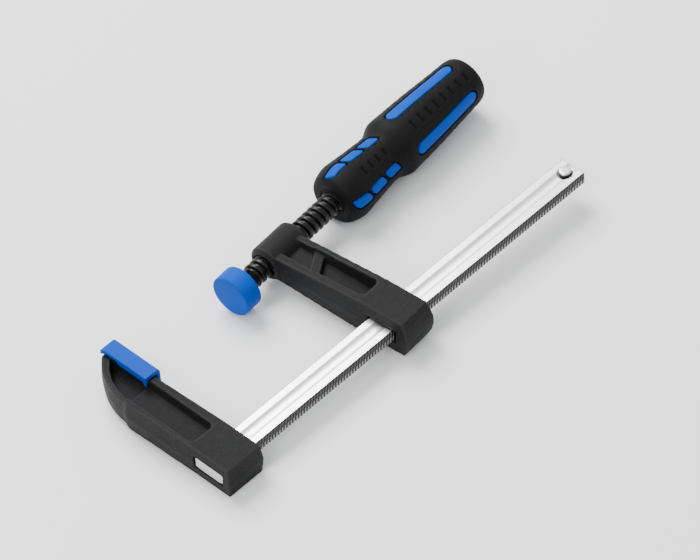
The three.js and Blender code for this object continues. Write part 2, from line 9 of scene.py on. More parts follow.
import bpy
import numpy as np
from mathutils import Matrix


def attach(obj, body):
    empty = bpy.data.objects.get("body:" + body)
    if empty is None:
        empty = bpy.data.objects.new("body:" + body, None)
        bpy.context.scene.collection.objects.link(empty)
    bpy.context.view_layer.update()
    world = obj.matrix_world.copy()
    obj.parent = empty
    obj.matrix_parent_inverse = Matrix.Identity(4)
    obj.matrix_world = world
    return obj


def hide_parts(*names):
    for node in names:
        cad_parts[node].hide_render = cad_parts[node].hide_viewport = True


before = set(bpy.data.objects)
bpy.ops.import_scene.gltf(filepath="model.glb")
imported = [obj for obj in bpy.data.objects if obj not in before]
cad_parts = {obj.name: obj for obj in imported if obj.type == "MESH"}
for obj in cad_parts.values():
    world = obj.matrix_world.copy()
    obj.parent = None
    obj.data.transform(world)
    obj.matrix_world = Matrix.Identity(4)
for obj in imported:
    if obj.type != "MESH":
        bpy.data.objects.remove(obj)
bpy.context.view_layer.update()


# ---------------------------------------------------------------- table, light and camera
# A pale matt table top. The clamp rests on the front bulge of the handle, the jaw cap and the fixed jaw,
# so the table lies about two degrees off level in the clamp's own frame.
# The light is a big soft box high beyond the spindle, a weaker one past the fixed jaw and a pale room.


def mesh_object(name, vertices, faces, smooth=True):
    """A mesh object from vertices in millimetres and a list of faces."""
    mesh = bpy.data.meshes.new(name)
    mesh.from_pydata((np.asarray(vertices) / 1000).tolist(), [], faces)
    mesh.polygons.foreach_set("use_smooth", np.full(len(mesh.polygons), smooth))
    mesh.update()
    made = bpy.data.objects.new(name, mesh)
    bpy.context.scene.collection.objects.link(made)
    return made


def material(name, color, roughness, metallic=0.0):
    """A principled material, its node tree and its shader."""
    made = bpy.data.materials.new(name)
    made.use_nodes = True
    tree = made.node_tree
    shader = tree.nodes["Principled BSDF"]
    shader.inputs["Base Color"].default_value = (*color, 1)
    shader.inputs["Roughness"].default_value = roughness
    shader.inputs["Metallic"].default_value = metallic
    return made, tree, shader


table, tree, shader = material("pale_table", (0.83, 0.83, 0.83), 0.85)
TABLE_HALF = 2500
TABLE_HEIGHT = -8.85  # under the frame's origin
TABLE_FALL_X = 0.0258  # how far it falls for each millimetre along X, and along Y
TABLE_FALL_Y = 0.0215
corners = TABLE_HALF * np.array([(-1, -1), (1, -1), (1, 1), (-1, 1)], float)
heights = TABLE_HEIGHT - TABLE_FALL_X * corners[:, 0] - TABLE_FALL_Y * corners[:, 1]
floor = mesh_object("table_top", np.column_stack([corners, heights]), [(0, 1, 2, 3)], smooth=False)
floor.data.materials.append(table)

world = bpy.data.worlds.new("pale_room")
world.use_nodes = True
world.node_tree.nodes["Background"].inputs["Color"].default_value = (0.96, 0.98, 1.0, 1)
world.node_tree.nodes["Background"].inputs["Strength"].default_value = 1.1
bpy.context.scene.world = world


def soft_box(name, place, aim, size, power):
    """A square area light at a place in millimetres, turned towards a point."""
    data = bpy.data.lights.new(name, "AREA")
    data.size = size / 1000
    data.energy = power
    light = bpy.data.objects.new(name, data)
    bpy.context.scene.collection.objects.link(light)
    light.location = [v / 1000 for v in place]
    away = np.array(place, float) - np.array(aim, float)
    light.rotation_euler = (
        math.atan2(math.hypot(away[0], away[1]), away[2]),
        0,
        math.atan2(away[1], away[0]) + math.pi / 2,
    )
    return light


clamp_middle = (80, -30, 0)
soft_box("key_box", (250, 650, 900), clamp_middle, 700, 26)
soft_box("fill_box", (-700, -200, 700), clamp_middle, 600, 6)

# The camera looks down from beyond the fixed jaw and the outer edge of the bar, with a long lens.
CAMERA_PLACE = (-913.277, -1139.831, 1628.361)
CAMERA_ANGLES = (42.3238, 3.852, -46.0964)  # degrees about X, Y and Z
camera = bpy.data.objects.new("camera", bpy.data.cameras.new("camera"))
bpy.context.scene.collection.objects.link(camera)
camera.data.lens = 306.608
camera.data.sensor_width = 36
camera.data.clip_end = 20
camera.location = [v / 1000 for v in CAMERA_PLACE]
camera.rotation_euler = [math.radians(angle) for angle in CAMERA_ANGLES]
bpy.context.scene.camera = camera


# ---------------------------------------------------------------- bar
# Cold-rolled flat steel, bright plated: a shallow flute runs along both sides and slanting teeth are
# rolled into both narrow edges. Its plain end goes through the fixed jaw, where it is hammered out wider.

BAR_Y = -55.85
BAR_HALF_WIDTH = 5.85
BAR_HALF_THICKNESS = 2.65
PEEN_HALF_WIDTH = 7.15
PEEN_START = -18.79
PEEN_POWER = 7  # of its superellipse
CHAMFER = 0.3  # at both ends of the bar
PIN_RING = (2.53, 3.17)  # the painted shadow ring round the pin's hole, from and to
BAR_START = -18.5
BAR_END = 176.2
JAW_FACE = -1.8
TOOTH_PITCH = 1.5
TOOTH_DEPTH = 0.5
TOOTH_SLANT = 0.16  # along the bar for each millimetre through its thickness
FLUTE_HALF = 2.5
FLUTE_DEPTH = 0.5
PIN_X = 171.5


def grid_faces(rows, columns, around=True):
    """Faces of a grid of points, row by row. Around closes each row on itself."""
    last = columns if around else columns - 1
    row, column = np.meshgrid(np.arange(rows - 1), np.arange(last), indexing="ij")
    after = (column + 1) % columns
    this_row, next_row = row * columns, (row + 1) * columns
    corners = (this_row + column, this_row + after, next_row + after, next_row + column)
    return np.stack(corners, -1).reshape(-1, 4)


def tube(points):
    """Vertices and faces of a closed tube through rings of points, with its two ends closed by fans.

    points has the shape rings x points per ring x 3.
    """
    rings, count = points.shape[:2]
    vertices = np.vstack([points.reshape(-1, 3), points[0].mean(0), points[-1].mean(0)])
    faces = grid_faces(rings, count).tolist()
    here = np.arange(count)
    after = (here + 1) % count
    first, last = rings * count, (rings - 1) * count
    faces += np.column_stack([after, here, np.full(count, first)]).tolist()
    faces += np.column_stack([last + here, last + after, np.full(count, first + 1)]).tolist()
    return vertices, faces


def bar_surface():
    """The bar as rings of points along X.

    Each ring is a rectangle whose long sides dip by a circular arc over the flute, and whose corners are
    eased. Over the toothed length the narrow sides move in and out by a triangle wave of the distance
    along the bar, with a phase that shifts through the thickness, so the teeth slant. Both ends of the
    bar draw in by a small chamfer, and one more ring inside it keeps the end face flat.
    """
    flat = np.linspace(-BAR_HALF_WIDTH + 0.35, BAR_HALF_WIDTH - 0.35, 34)
    radius = (FLUTE_HALF**2 + FLUTE_DEPTH**2) / (2 * FLUTE_DEPTH)
    arc = np.sqrt(radius**2 - np.minimum(np.abs(flat), FLUTE_HALF) ** 2) - (radius - FLUTE_DEPTH)
    side = np.linspace(-BAR_HALF_THICKNESS + 0.25, BAR_HALF_THICKNESS - 0.25, 7)
    y = np.concatenate([np.full(7, BAR_HALF_WIDTH), flat[::-1], np.full(7, -BAR_HALF_WIDTH), flat])
    z = np.concatenate([side, BAR_HALF_THICKNESS - arc[::-1], side[::-1], arc - BAR_HALF_THICKNESS])
    fluted = np.concatenate([np.zeros(7), arc[::-1], np.zeros(7), -arc])
    on_edge = np.abs(y) > BAR_HALF_WIDTH - 0.01

    stations = np.arange(JAW_FACE, BAR_END - 0.35, TOOTH_PITCH / 8)
    socket = np.linspace(BAR_START + 0.4, JAW_FACE - 0.1, 8)
    head, tail = [BAR_START, BAR_START, BAR_START + CHAMFER], [BAR_END - CHAMFER, BAR_END, BAR_END]
    x = np.concatenate([head, socket, stations, tail])
    grid_x, grid_y = np.meshgrid(x, y, indexing="ij")
    grid_z = np.broadcast_to(z, grid_x.shape).copy()
    phase = (grid_x - JAW_FACE) / TOOTH_PITCH + TOOTH_SLANT * grid_z * np.sign(grid_y)
    wave = 2 * np.abs(phase - np.floor(phase) - 0.5)
    toothed = (grid_x > JAW_FACE + 0.1) & (grid_x < BAR_END - 0.8)
    plain = np.where(grid_x <= JAW_FACE + 0.1, 1.0, 0.1)
    drop = np.where(toothed, np.minimum(1.25 * wave, 1.0), plain) * TOOTH_DEPTH
    grid_y = np.where(on_edge, grid_y - np.sign(grid_y) * drop, grid_y)
    shoulder = (np.abs(grid_y) > BAR_HALF_WIDTH - 0.4) & ~on_edge
    grid_y = np.where(shoulder, grid_y - np.sign(grid_y) * drop * 0.45, grid_y)
    grid_z = grid_z + np.where(grid_x < JAW_FACE, np.broadcast_to(fluted, grid_x.shape), 0)
    ends = np.zeros(len(x))
    ends[[0, -1]] = 1.5 * CHAMFER
    ends[[1, -2]] = CHAMFER
    shrink = ends[:, None]
    grid_y = grid_y - np.sign(grid_y) * np.minimum(shrink, np.abs(grid_y))
    grid_z = grid_z - np.sign(grid_z) * np.minimum(shrink, np.abs(grid_z))
    return np.stack([grid_x, grid_y + BAR_Y, grid_z], -1)


def peened_end():
    """The hammered end as rings along X.

    Each ring is a flat superellipse whose outline wavers a little. Over the first 0.4 mm the rings grow
    quickly to their full size, which makes the outer face a low dome.
    """
    steps = 240
    turn = np.linspace(0, 2 * np.pi, steps, endpoint=False)
    across = np.sign(np.cos(turn)) * np.abs(np.cos(turn)) ** (2 / PEEN_POWER)
    high = np.sign(np.sin(turn)) * np.abs(np.sin(turn)) ** (2 / PEEN_POWER)
    waver = 1 - 0.012 * (1 + np.sin(5 * turn + 0.7)) - 0.01 * (1 + np.sin(9 * turn + 2.0))
    x = PEEN_START + np.array([0, 0.01, 0.03, 0.07, 0.19, 0.39, 1.09, 1.29])
    share = np.array([0.3, 0.6, 0.86, 0.95, 0.99, 1.0, 1.0, 0.97])
    y = BAR_Y + PEEN_HALF_WIDTH * share[:, None] * (across * waver)
    z = BAR_HALF_THICKNESS * (1 - 1.6 * (1 - share[:, None]).clip(0, 0.6)) * (high * waver)
    return np.stack([np.repeat(x[:, None], steps, 1), y, z], -1)


vertices, faces = tube(bar_surface())
bar = mesh_object("bar_steel", vertices, faces)


def attribute(obj, name, values):
    """One number per vertex, for the object's material to read."""
    obj.data.attributes.new(name, "FLOAT", "POINT").data.foreach_set("value", np.asarray(values, np.float32))


def node(tree, kind, inputs=None, **settings):
    """A shader node with its settings and its constant or linked inputs."""
    made = tree.nodes.new(kind)
    for key, value in settings.items():
        setattr(made, key, value)
    for key, value in (inputs or {}).items():
        if isinstance(value, bpy.types.NodeSocket):
            tree.links.new(value, made.inputs[key])
        else:
            made.inputs[key].default_value = value
    return made


def noise(tree, stretch, detail=3.0, roughness=0.55):
    """Noise in the object's own coordinates, with a scale per metre along each axis."""
    place = node(tree, "ShaderNodeTexCoord").outputs["Object"]
    mapped = node(tree, "ShaderNodeMapping", {"Vector": place, "Scale": stretch}).outputs["Vector"]
    inputs = {"Vector": mapped, "Scale": 1.0, "Detail": detail, "Roughness": roughness}
    return node(tree, "ShaderNodeTexNoise", inputs).outputs["Fac"]


def spread(tree, value, low, high, start=0.0, end=1.0):
    """A value between start and end, spread over low to high."""
    ends = {"Value": value, "From Min": start, "From Max": end, "To Min": low, "To Max": high}
    return node(tree, "ShaderNodeMapRange", ends).outputs["Result"]


def blend(tree, factor, first, second):
    """Two colours, or linked colours, mixed by a factor."""
    made = node(tree, "ShaderNodeMix", data_type="RGBA")
    for socket, value in ((made.inputs[0], factor), (made.inputs[6], first), (made.inputs[7], second)):
        if isinstance(value, bpy.types.NodeSocket):
            tree.links.new(value, socket)
        else:
            socket.default_value = value if isinstance(value, float) else (*value, 1)
    return made.outputs[2]


def read(tree, name):
    """A number stored on the vertices."""
    return node(tree, "ShaderNodeAttribute", attribute_name=name).outputs["Fac"]


def bump(tree, shader, height, strength, distance):
    """Bump on the shader from a height, with its depth in millimetres."""
    sizes = {"Height": height, "Strength": strength, "Distance": distance / 1000}
    tree.links.new(node(tree, "ShaderNodeBump", sizes).outputs["Normal"], shader.inputs["Normal"])


# Bright plate with fine streaks along the bar. The toothed edges are painted near black, a painted dark
# reflection and shade that is darkest down in the teeth, with a painted highlight on the tips along one
# side.
reach = np.abs(vertices[:, 1] - BAR_Y)
side_wall = vertices[:, 0] < BAR_END - 0.1
in_teeth = side_wall & (vertices[:, 0] > JAW_FACE) & (reach > BAR_HALF_WIDTH - TOOTH_DEPTH - 0.02)
# Painted shade down in the teeth, darkest at their roots.
attribute(bar, "root", np.where(in_teeth, (BAR_HALF_WIDTH - reach) / TOOTH_DEPTH, 0).clip(0, 1))
# Painted highlight on the lower tooth tips, where the light catches them.
painted_tip_highlights = in_teeth & (vertices[:, 2] < -0.7) & (reach > BAR_HALF_WIDTH - 0.2)
attribute(bar, "tip", np.where(painted_tip_highlights, 1.0, 0.0))
# A painted shadow ring on the bar round the stop pin.
from_pin = np.hypot(vertices[:, 0] - PIN_X, vertices[:, 1] - BAR_Y)
pin_shadow_ring = (from_pin > PIN_RING[0]) & (from_pin < PIN_RING[1])
# The tooth band and the ring round the pin are painted near black: painted dark reflection and shade.
painted_dark_edge = side_wall & ((reach > BAR_HALF_WIDTH - 0.6) | pin_shadow_ring)
attribute(bar, "edge", np.where(painted_dark_edge, 1.0, 0.0))
plated, tree, shader = material("bright_plate", (0.86, 0.86, 0.85), 0.3, 1.0)
streaks = noise(tree, (30, 2600, 2600), 4)
clouds = noise(tree, (90, 160, 160), 2)
dull = blend(tree, clouds, (0.80, 0.80, 0.79), (0.93, 0.93, 0.92))
# Painted dark reflection and shade on the tooth band and round the pin.
wear_and_painted_dark = blend(tree, spread(tree, read(tree, "edge"), 0.0, 0.9), dull, (0.02, 0.02, 0.02))
# Painted highlight on the tooth tips.
rubbed_and_painted_highlight = blend(tree, spread(tree, read(tree, "tip"), 0.0, 0.9), wear_and_painted_dark, (0.5, 0.5, 0.5))
painted_teeth_shade = blend(tree, spread(tree, read(tree, "root"), 0.0, 0.9), rubbed_and_painted_highlight, (0.006, 0.006, 0.006))
tree.links.new(painted_teeth_shade, shader.inputs["Base Color"])
tree.links.new(spread(tree, streaks, 0.24, 0.42), shader.inputs["Roughness"])
bump(tree, shader, streaks, 0.12, 0.02)
bar.data.materials.append(plated)
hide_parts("bar")
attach(bar, "frame")

# The hammered end is bare steel, dull and pitted, not plated.
head = mesh_object("bar_peened_end", *tube(peened_end()))
bare, tree, shader = material("hammered_steel", (0.62, 0.62, 0.61), 0.5, 1.0)
pits = noise(tree, (900, 1500, 1500), 4)
tree.links.new(blend(tree, pits, (0.50, 0.50, 0.49), (0.72, 0.72, 0.71)), shader.inputs["Base Color"])
tree.links.new(spread(tree, pits, 0.42, 0.62), shader.inputs["Roughness"])
bump(tree, shader, pits, 0.5, 0.08)
head.data.materials.append(bare)
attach(head, "frame")


# ---------------------------------------------------------------- stop pin
# A short turned steel pin, bright plated and chamfered, pressed through the bar near its free end so
# that the arm can't run off.

PIN_RADIUS = 2.6
PIN_HALF = 4.25
PIN_CHAMFER = 0.55


def eased(corners, radius, steps=4):
    """A profile with its inner corners rounded: each becomes a short parabola between points at most
    radius away along both of its sides."""
    corners = np.asarray(corners, float)
    out = [corners[:1]]
    for before, here, after in zip(corners[:-2], corners[1:-1], corners[2:]):
        to_before, to_after = before - here, after - here
        cut_before = min(radius / np.linalg.norm(to_before), 0.45)
        cut_after = min(radius / np.linalg.norm(to_after), 0.45)
        t = np.linspace(0, 1, steps + 1)[:, None]
        out.append(here + (1 - t) ** 2 * cut_before * to_before + t**2 * cut_after * to_after)
    out.append(corners[-1:])
    return np.vstack(out)


def turned(profile, steps):
    """A surface of revolution about X: rings of points at each (distance, radius) of the profile."""
    angle = np.linspace(0, 2 * np.pi, steps, endpoint=False)
    along, radius = np.asarray(profile, float).T
    x = np.outer(along, np.ones(steps))
    return np.stack([x, np.outer(radius, np.cos(angle)), np.outer(radius, np.sin(angle))], -1)


profile = [(-PIN_HALF, 0.1), (-PIN_HALF, PIN_RADIUS - PIN_CHAMFER), (-PIN_HALF + PIN_CHAMFER, PIN_RADIUS)]
profile += [(PIN_HALF - PIN_CHAMFER, PIN_RADIUS), (PIN_HALF, PIN_RADIUS - PIN_CHAMFER), (PIN_HALF, 0.1)]
vertices, faces = tube(turned(eased(profile, 0.18), 64))
pin = mesh_object("stop_pin_steel", vertices[:, [2, 1, 0]] * (-1, 1, 1) + (PIN_X, BAR_Y, 0), faces)
pin_plate, tree, shader = material("pin_plate", (0.84, 0.84, 0.83), 0.25, 1.0)
turning = noise(tree, (2500, 2500, 300), 3)
tree.links.new(spread(tree, turning, 0.2, 0.36), shader.inputs["Roughness"])
bright = blend(tree, turning, (0.78, 0.78, 0.77), (0.9, 0.9, 0.89))
# The pin's side and the outer part of its chamfer are painted dark: painted shade round its rim.
from_axis = np.hypot(vertices[:, 1], vertices[:, 2])
attribute(pin, "seat", ((from_axis - PIN_RADIUS + 0.3) / 0.3).clip(0, 1))
pin_rim_painted_shade = blend(tree, read(tree, "seat"), bright, (0.03, 0.03, 0.03))
tree.links.new(pin_rim_painted_shade, shader.inputs["Base Color"])
bump(tree, shader, turning, 0.1, 0.02)
pin.data.materials.append(pin_plate)
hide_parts("stop_pin")
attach(pin, "frame")


# ---------------------------------------------------------------- fixed jaw and sliding arm
# Two iron castings, sand cast with a web and rims on each side and painted black. They start from the
# CAD solids, whose edges are rounded as a casting's are by meshing them afresh and smoothing that mesh,
# because a casting's blended fillets have no simple parametric surface.

CASTING_CELL = 0.34
CASTING_PASSES = 7


def fused(name, solids, cell, smoothing):
    """Closed solids, given as (vertices in millimetres, faces), as one mesh: voxels of that cell size
    join them and the smoothing passes round their edges."""
    start = 0
    points, corners = [], []
    for vertices, faces in solids:
        points.append(np.asarray(vertices, float))
        corners += [[start + corner for corner in face] for face in faces]
        start += len(vertices)
    rough = bpy.data.meshes.new(name + "_rough")
    rough.from_pydata((np.vstack(points) / 1000).tolist(), [], corners)
    made = bpy.data.objects.new(name, rough)
    bpy.context.scene.collection.objects.link(made)
    voxels = made.modifiers.new("voxels", "REMESH")
    voxels.mode = "VOXEL"
    voxels.voxel_size = cell / 1000
    voxels.use_smooth_shade = True
    soften = made.modifiers.new("soften", "SMOOTH")
    soften.factor = 0.5
    soften.iterations = smoothing
    bpy.context.view_layer.update()
    shaped = bpy.data.meshes.new_from_object(made.evaluated_get(bpy.context.evaluated_depsgraph_get()))
    made.modifiers.clear()
    made.data = shaped
    bpy.data.meshes.remove(rough)
    return made


def cad_solid(name):
    """A CAD node's mesh in millimetres with its doubled vertices merged."""
    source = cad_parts[name]
    mesh = source.data
    points = np.empty(3 * len(mesh.vertices))
    mesh.vertices.foreach_get("co", points)
    place = np.array(source.matrix_world)
    placed = points.reshape(-1, 3) @ place[:3, :3].T + place[:3, 3]
    merged, index = np.unique(np.round(placed * 1000, 3), axis=0, return_inverse=True)
    index = np.asarray(index).ravel()
    corners = [index[list(face.vertices)].tolist() for face in mesh.polygons]
    return merged, [face for face in corners if len(set(face)) == len(face)]


def mesh_points(obj):
    """An object's vertices in millimetres."""
    points = np.empty(3 * len(obj.data.vertices))
    obj.data.vertices.foreach_get("co", points)
    return points.reshape(-1, 3) * 1000


def bulge(obj, passes=3):
    """How far each vertex stands out of its neighbours, in millimetres, averaged over a few passes."""
    points = mesh_points(obj)
    edges = np.empty(2 * len(obj.data.edges), int)
    obj.data.edges.foreach_get("vertices", edges)
    edges = edges.reshape(-1, 2)
    ends = np.concatenate([edges[:, 0], edges[:, 1]])
    others = np.concatenate([edges[:, 1], edges[:, 0]])
    count = np.maximum(np.bincount(ends, minlength=len(points)), 1)
    normals = np.empty(3 * len(points))
    obj.data.vertices.foreach_get("normal", normals)
    mean = np.stack([np.bincount(ends, points[others, axis], len(points)) / count for axis in range(3)], -1)
    out = ((points - mean) * normals.reshape(-1, 3)).sum(1)
    for _ in range(passes):
        out = 0.5 * out + 0.5 * np.bincount(ends, out[others], len(points)) / count
    return out


paint, tree, shader = material("cast_paint", (0.008, 0.008, 0.009), 0.55)
shader.inputs["Specular IOR Level"].default_value = 0.1
sand = noise(tree, (1500, 1500, 1500), 5, 0.7)
lumps = noise(tree, (260, 260, 260), 3)
patches = noise(tree, (70, 70, 70), 3)
ground = blend(tree, patches, (0.0065, 0.0065, 0.007), (0.0115, 0.0115, 0.012))
wear_and_painted_dark = blend(tree, spread(tree, read(tree, "bulge"), 0.0, 0.35, 0.004, 0.02), ground, (0.035, 0.035, 0.035))
tree.links.new(wear_and_painted_dark, shader.inputs["Base Color"])
tree.links.new(spread(tree, sand, 0.42, 0.68, 0.3, 0.7), shader.inputs["Roughness"])
fine = node(tree, "ShaderNodeBump", {"Height": sand, "Strength": 0.9, "Distance": 0.00035}).outputs["Normal"]
coarse = node(tree, "ShaderNodeBump", {"Height": lumps, "Strength": 0.5, "Distance": 0.0005, "Normal": fine})
tree.links.new(coarse.outputs["Normal"], shader.inputs["Normal"])
for node_name, body in (("fixed_jaw", "frame"), ("sliding_arm", "arm")):
    casting = fused(node_name + "_casting", [cad_solid(node_name)], CASTING_CELL, CASTING_PASSES)
    attribute(casting, "bulge", bulge(casting))
    casting.data.materials.append(paint)
    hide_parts(node_name)
    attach(casting, body)


# ---------------------------------------------------------------- jaw cap
# A moulded blue plastic channel that is pushed over the nose of the jaw, with a lip along the free edge
# of each flange, a stub at the lip's end and corners rounded by the mould. Made like the castings.

CAP_START = -13
CAP_END = 10
CAP_HALF = 8.6
CAP_LIP = (-7.4, -6.35)


def slab(outline, z0, z1):
    """A straight prism of an XY outline, listed anticlockwise, from z0 up to z1."""
    outline = np.asarray(outline, float)
    count = len(outline)
    low = np.column_stack([outline, np.full(count, z0)])
    high = np.column_stack([outline, np.full(count, z1)])
    here = list(range(count))
    sides = [[k, (k + 1) % count, count + (k + 1) % count, count + k] for k in here]
    return np.vstack([low, high]), [here[::-1], [count + k for k in here], *sides]


# The wall is drawn in XZ, bevelled along its long edges, and turned to lie along Y.
outline = [(-1.6, -CAP_HALF), (-1.1, -CAP_HALF), (0, -7.1), (0, 7.1), (-1.1, CAP_HALF), (-1.6, CAP_HALF)]
wall, faces = slab(outline, -CAP_END, -CAP_START)
solids = [(wall[:, [0, 2, 1]] * (1, -1, 1), faces)]
back, front = CAP_LIP
flange = [(back, CAP_START), (-1.1, CAP_START), (-1.1, CAP_END), (-8.3, CAP_END), (back, 7.8)]
lip = [(back, CAP_START), (front, CAP_START), (front, 2.1), (back, 2.1)]
stub = [(back, CAP_START), (-6.9, CAP_START), (-6.9, -11.5), (back, -11.5)]
for side in (-1, 1):
    for outline, low, high in ((flange, 6.75, CAP_HALF), (lip, 5.5, 8.4), (stub, 3.95, 6)):
        z0, z1 = sorted((side * low, side * high))
        solids.append(slab(outline, z0, z1))
cap = fused("jaw_cap_plastic", solids, 0.22, 5)
moulded, tree, shader = material("blue_plastic", (0.0, 0.05, 0.34), 0.45)
grain = noise(tree, (2200, 2200, 2200), 4, 0.6)
patches = noise(tree, (60, 60, 60), 2)
tree.links.new(blend(tree, patches, (0.0, 0.044, 0.31), (0.0, 0.058, 0.37)), shader.inputs["Base Color"])
tree.links.new(spread(tree, grain, 0.4, 0.56, 0.3, 0.7), shader.inputs["Roughness"])
bump(tree, shader, grain, 0.25, 0.03)
shader.inputs["Specular IOR Level"].default_value = 0.04
cap.data.materials.append(moulded)
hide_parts("jaw_cap")
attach(cap, "frame")


# ---------------------------------------------------------------- spindle
# Steel rod with a coarse rolled right-hand thread, blacked and oiled. The plain tang behind the thread
# is pressed into the handle.

ARM_X = 79.0
ARM_TILT = math.radians(4.3)
AXIS_Y = 55.85  # from the middle of the bar to the spindle, along the arm
THREAD_START = -17.7
THREAD_END = 32.7
THREAD_PITCH = 3.0
THREAD_CREST = 4.6
THREAD_ROOT = 3.45
TANG_END = 69.7
TANG_RADIUS = 3.35
NOSE_RADIUS = 2.4  # where the thread starts


def on_arm(points):
    """Points given along the spindle and round its axis, in the clamp's frame: turned by the arm's tilt."""
    x, y, z = points[..., 0], points[..., 1] + AXIS_Y, points[..., 2]
    c, s = math.cos(ARM_TILT), math.sin(ARM_TILT)
    return np.stack([ARM_X + c * x - s * y, BAR_Y + s * x + c * y, z], -1)


def screw_surface():
    """Rings along the spindle whose radius is a rounded trapezoid of the helix phase.

    The phase is the distance over the pitch less the turn, so a crest climbs one pitch per turn. The
    crests run in from the neck over a short cone, and end at the plain tang inside the handle.
    """
    threaded = np.arange(THREAD_START, THREAD_END, THREAD_PITCH / 22)
    stations = np.concatenate([threaded, [THREAD_END, THREAD_END + 0.4, TANG_END]])
    points = turned(np.column_stack([stations, np.ones(len(stations))]), 72)
    turn = np.arctan2(points[..., 2], points[..., 1]) / (2 * np.pi)
    phase = (points[..., 0] - THREAD_START) / THREAD_PITCH + 1.5 - turn
    from_crest = 2 * np.abs(phase - np.floor(phase) - 0.5)
    rise = np.clip((0.8 - from_crest) / 0.42, 0, 1)
    thread = THREAD_ROOT + (THREAD_CREST - THREAD_ROOT) * rise * rise * (3 - 2 * rise)
    cone = NOSE_RADIUS + 1.15 * np.maximum(points[..., 0] - THREAD_START, 0)
    radius = np.where(points[..., 0] > THREAD_END + 0.1, TANG_RADIUS, np.minimum(thread, cone))
    points[..., 1:] *= radius[..., None]
    return points


vertices, faces = tube(screw_surface())
spindle = mesh_object("spindle_steel", on_arm(vertices), faces)
above_root = np.hypot(vertices[:, 1], vertices[:, 2]) - THREAD_ROOT
attribute(spindle, "crest", (above_root / (THREAD_CREST - THREAD_ROOT)).clip(0, 1))
blacked, tree, shader = material("blacked_steel", (0.002, 0.002, 0.002), 0.3)
shader.inputs["Specular IOR Level"].default_value = 0.25
grain = noise(tree, (900, 900, 900), 4)
rubbed_and_painted_highlight = spread(tree, read(tree, "crest"), 0.0, 0.5, 0.9, 1.0)
oily = blend(tree, rubbed_and_painted_highlight, (0.0015, 0.0015, 0.0015), (0.004, 0.004, 0.004))
tree.links.new(oily, shader.inputs["Base Color"])
tree.links.new(spread(tree, grain, 0.22, 0.42, 0.3, 0.7), shader.inputs["Roughness"])
bump(tree, shader, grain, 0.25, 0.04)
spindle.data.materials.append(blacked)
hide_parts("spindle")
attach(spindle, "screw")


# ---------------------------------------------------------------- ball tip, shoe and pad cap
# The spindle ends in a bright ground neck and ball. A pressed steel shoe is crimped round the ball so
# that it swivels, and a moulded plastic cap is pressed over the shoe's face.

PAD_FACE = -28.5
BALL_X = -21.85
BALL_RADIUS = 3.2
NECK_RADIUS = 2.2
SHOE_RADIUS = 6.85
PAD_RADIUS = 8.7
PAD_DEPTH = 8
PAD_BORE = 7.2
PAD_FLOOR = 2

swing = np.linspace(math.pi - 0.06, math.asin(NECK_RADIUS / BALL_RADIUS), 26)
profile = np.column_stack([BALL_X + BALL_RADIUS * np.cos(swing), BALL_RADIUS * np.sin(swing)])
profile = np.vstack([profile, [(THREAD_START - 0.4, NECK_RADIUS), (THREAD_START - 0.3, NECK_RADIUS - 0.1)]])
vertices, faces = tube(turned(profile, 64))
ball = mesh_object("ball_tip_steel", on_arm(vertices), faces)

seat = BALL_RADIUS + 0.33
mouth = 2.1
socket = np.linspace(math.acos(mouth / seat), math.pi - 0.06, 22)
low, high = PAD_FACE + 2.3, PAD_FACE + 6.4
collar = BALL_X + mouth
shoe = [(low, 0.1), (low, SHOE_RADIUS), (high, SHOE_RADIUS), (high, 5.0)]
shoe += [(collar - 1, 4.4), (collar, 3.72), (collar, seat * math.sin(socket[0]) + 0.25)]
inside = np.column_stack([BALL_X + seat * np.cos(socket), seat * np.sin(socket)])
vertices, faces = tube(turned(np.vstack([eased(shoe, 0.3), inside]), 72))
shoe = mesh_object("pad_shoe_steel", on_arm(vertices), faces)

ground, tree, shader = material("ground_steel", (0.8, 0.8, 0.79), 0.28, 1.0)
turning = noise(tree, (1800, 1800, 1800), 3)
tree.links.new(blend(tree, turning, (0.7, 0.7, 0.69), (0.86, 0.86, 0.85)), shader.inputs["Base Color"])
tree.links.new(spread(tree, turning, 0.22, 0.4), shader.inputs["Roughness"])
bump(tree, shader, turning, 0.12, 0.02)
for piece, node_name, body in ((ball, "ball_tip", "tip"), (shoe, "pad_shoe", "pad")):
    piece.data.materials.append(ground)
    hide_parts(node_name)
    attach(piece, body)

pad_back = PAD_FACE + PAD_DEPTH
cup = [(PAD_FACE, 0.1), (PAD_FACE, PAD_RADIUS), (pad_back, PAD_RADIUS), (pad_back, PAD_BORE)]
cup += [(PAD_FACE + PAD_FLOOR, PAD_BORE), (PAD_FACE + PAD_FLOOR, 0.1)]
vertices, faces = tube(turned(eased(cup, 1.0, 6), 112))
pad_cap = mesh_object("pad_cap_plastic", on_arm(vertices), faces)
pad_cap.data.materials.append(moulded)
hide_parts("pad_cap")
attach(pad_cap, "pad")


# ---------------------------------------------------------------- handle skin
# Soft black rubber moulded over a hard core. It has a thumb bulge, a waist and a palm bulge, four rows
# of round-ended windows that the core shows through, and short grip grooves between the rows.

